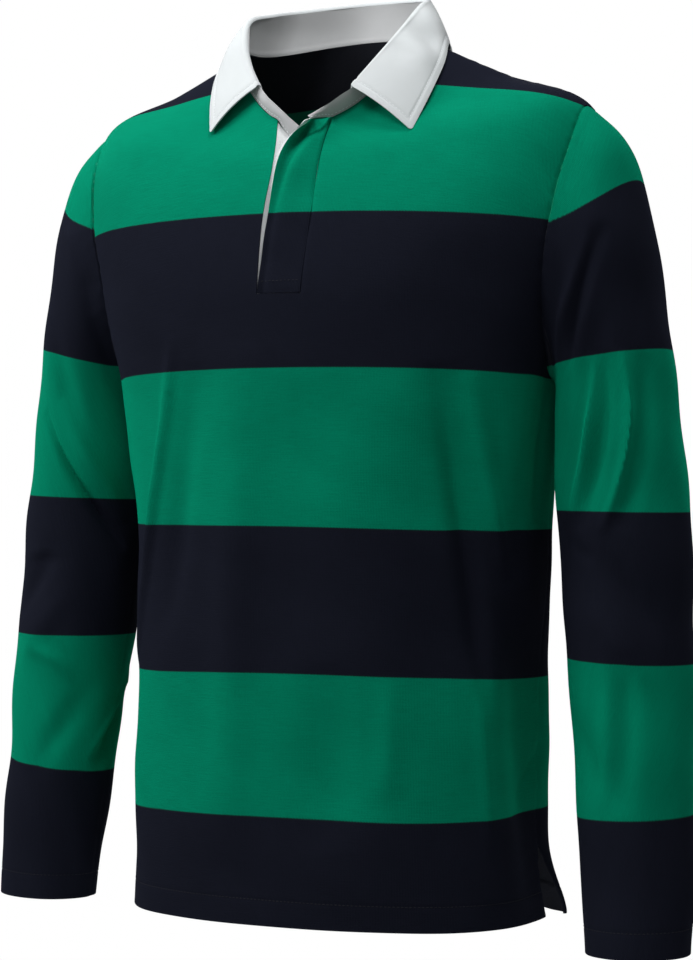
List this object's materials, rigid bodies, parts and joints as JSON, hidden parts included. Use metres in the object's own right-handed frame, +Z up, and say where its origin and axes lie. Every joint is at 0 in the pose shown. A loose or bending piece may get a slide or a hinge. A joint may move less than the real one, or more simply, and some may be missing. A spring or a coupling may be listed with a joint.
{
  "type": "long-sleeved rugby polo shirt",
  "caption": "Long-sleeved rugby polo shirt, filled out as if worn, with wide horizontal stripes, a contrasting twill collar and a half-open front placket.",
  "frame": {"origin": "middle of the neck opening, level with the side neck points where the shoulder seams meet the collar", "axes": "+Z up, -Y towards the front of the shirt, +X towards the wearer's left"},
  "size_m": [0.604, 0.2521, 0.7654],
  "materials": {
    "striped_jersey": "matt cotton jersey",
    "white_twill": "matt cotton twill",
    "button_white": "satin"
  },
  "bodies": {
    "root": {"front": "striped_jersey", "back": "striped_jersey", "sleeve_left": "striped_jersey", "sleeve_right": "striped_jersey", "placket_upper": "striped_jersey", "placket_facing": "white_twill", "placket_under": "white_twill", "collar_stand": "white_twill", "collar_leaf": "white_twill", "button_1": "button_white", "button_2": "button_white", "button_3": "button_white"}
  },
  "joints": []
}
